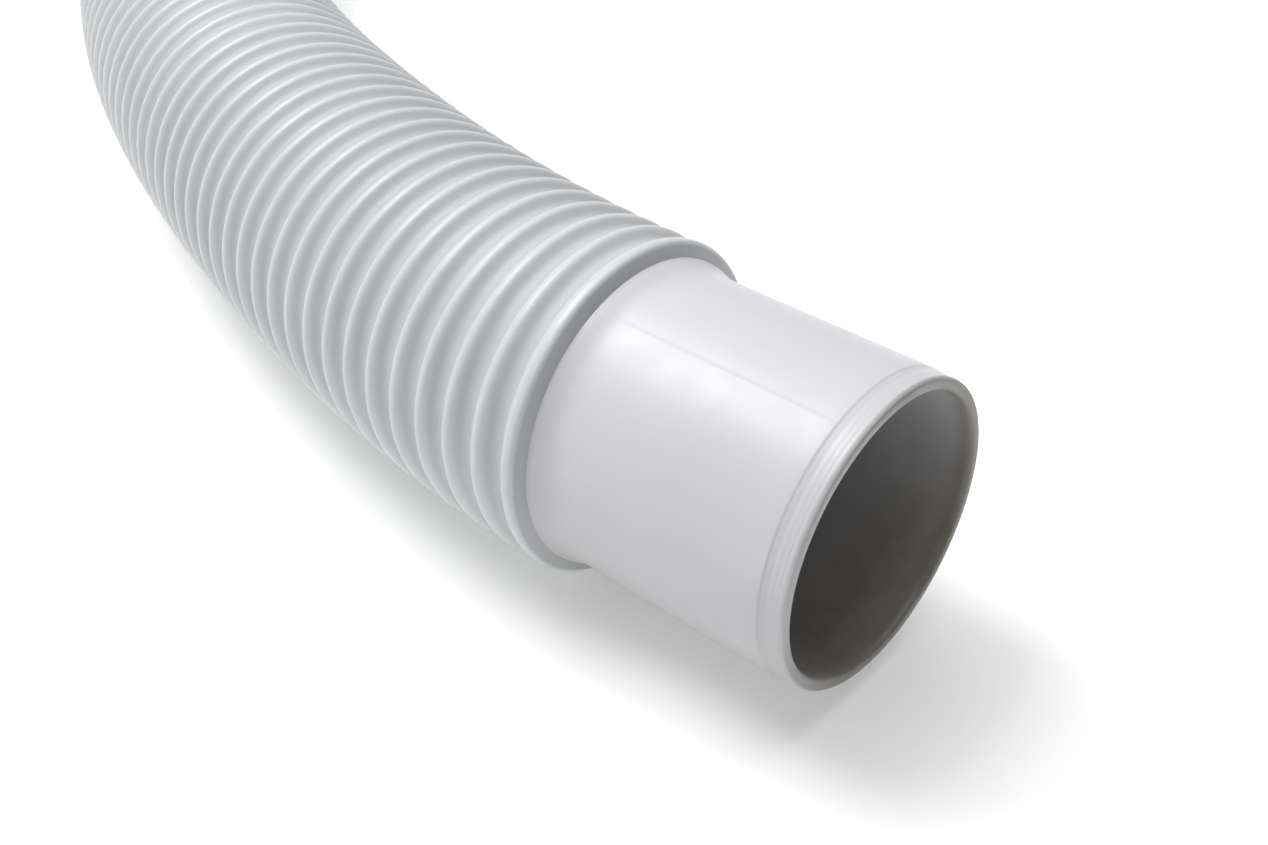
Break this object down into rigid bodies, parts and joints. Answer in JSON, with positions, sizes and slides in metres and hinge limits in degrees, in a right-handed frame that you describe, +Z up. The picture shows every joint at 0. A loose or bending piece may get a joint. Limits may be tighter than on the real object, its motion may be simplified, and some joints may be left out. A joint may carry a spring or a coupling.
{
  "type": "pool vacuum hose",
  "caption": "Corrugated white pool vacuum hose with a plain cuff at one end and a rotating swivel cuff at the other, its spare length coiled and strapped.",
  "frame": {"origin": "bottom centre of the whole object's box, on the floor it lies on", "axes": "+Z up from the floor; the near cuff's axis runs along Y with its mouth facing -Y; the swivel cuff's mouth faces +X; the longest extent, from the laid-out end to the far side of the coil, is along X"},
  "size_m": [0.7534, 0.5494, 0.198],
  "materials": {
    "hose_wall": "satin off-white ethylene vinyl acetate",
    "cuff_plastic": "semi-gloss white moulded plastic",
    "ferrule_plastic": "semi-gloss white moulded plastic",
    "seal_rubber": "black elastomer",
    "strap_fabric": "black woven hook-and-loop band",
    "buckle_plastic": "black moulded plastic"
  },
  "bodies": {
    "hose": {"near_cuff": "cuff_plastic", "hose_end_near": "hose_wall", "hose_stretch": "hose_wall", "hose_coil": "hose_wall", "hose_tail": "hose_wall", "hose_end_far": "hose_wall", "swivel_ferrule": "ferrule_plastic", "swivel_seal": "seal_rubber", "tie_a": "strap_fabric", "tie_b": "strap_fabric", "tie_c": "strap_fabric", "tie_buckle_a": "buckle_plastic", "tie_buckle_b": "buckle_plastic", "tie_buckle_c": "buckle_plastic"},
    "swivel": {"swivel_cuff": "cuff_plastic"}
  },
  "joints": [
    {"name": "swivel_spin", "type": "hinge", "parent": "hose", "child": "swivel", "pos_m": [0.15756, 0.24746, 0.1716], "axis": [1, 0, 0], "continuous": true}
  ]
}
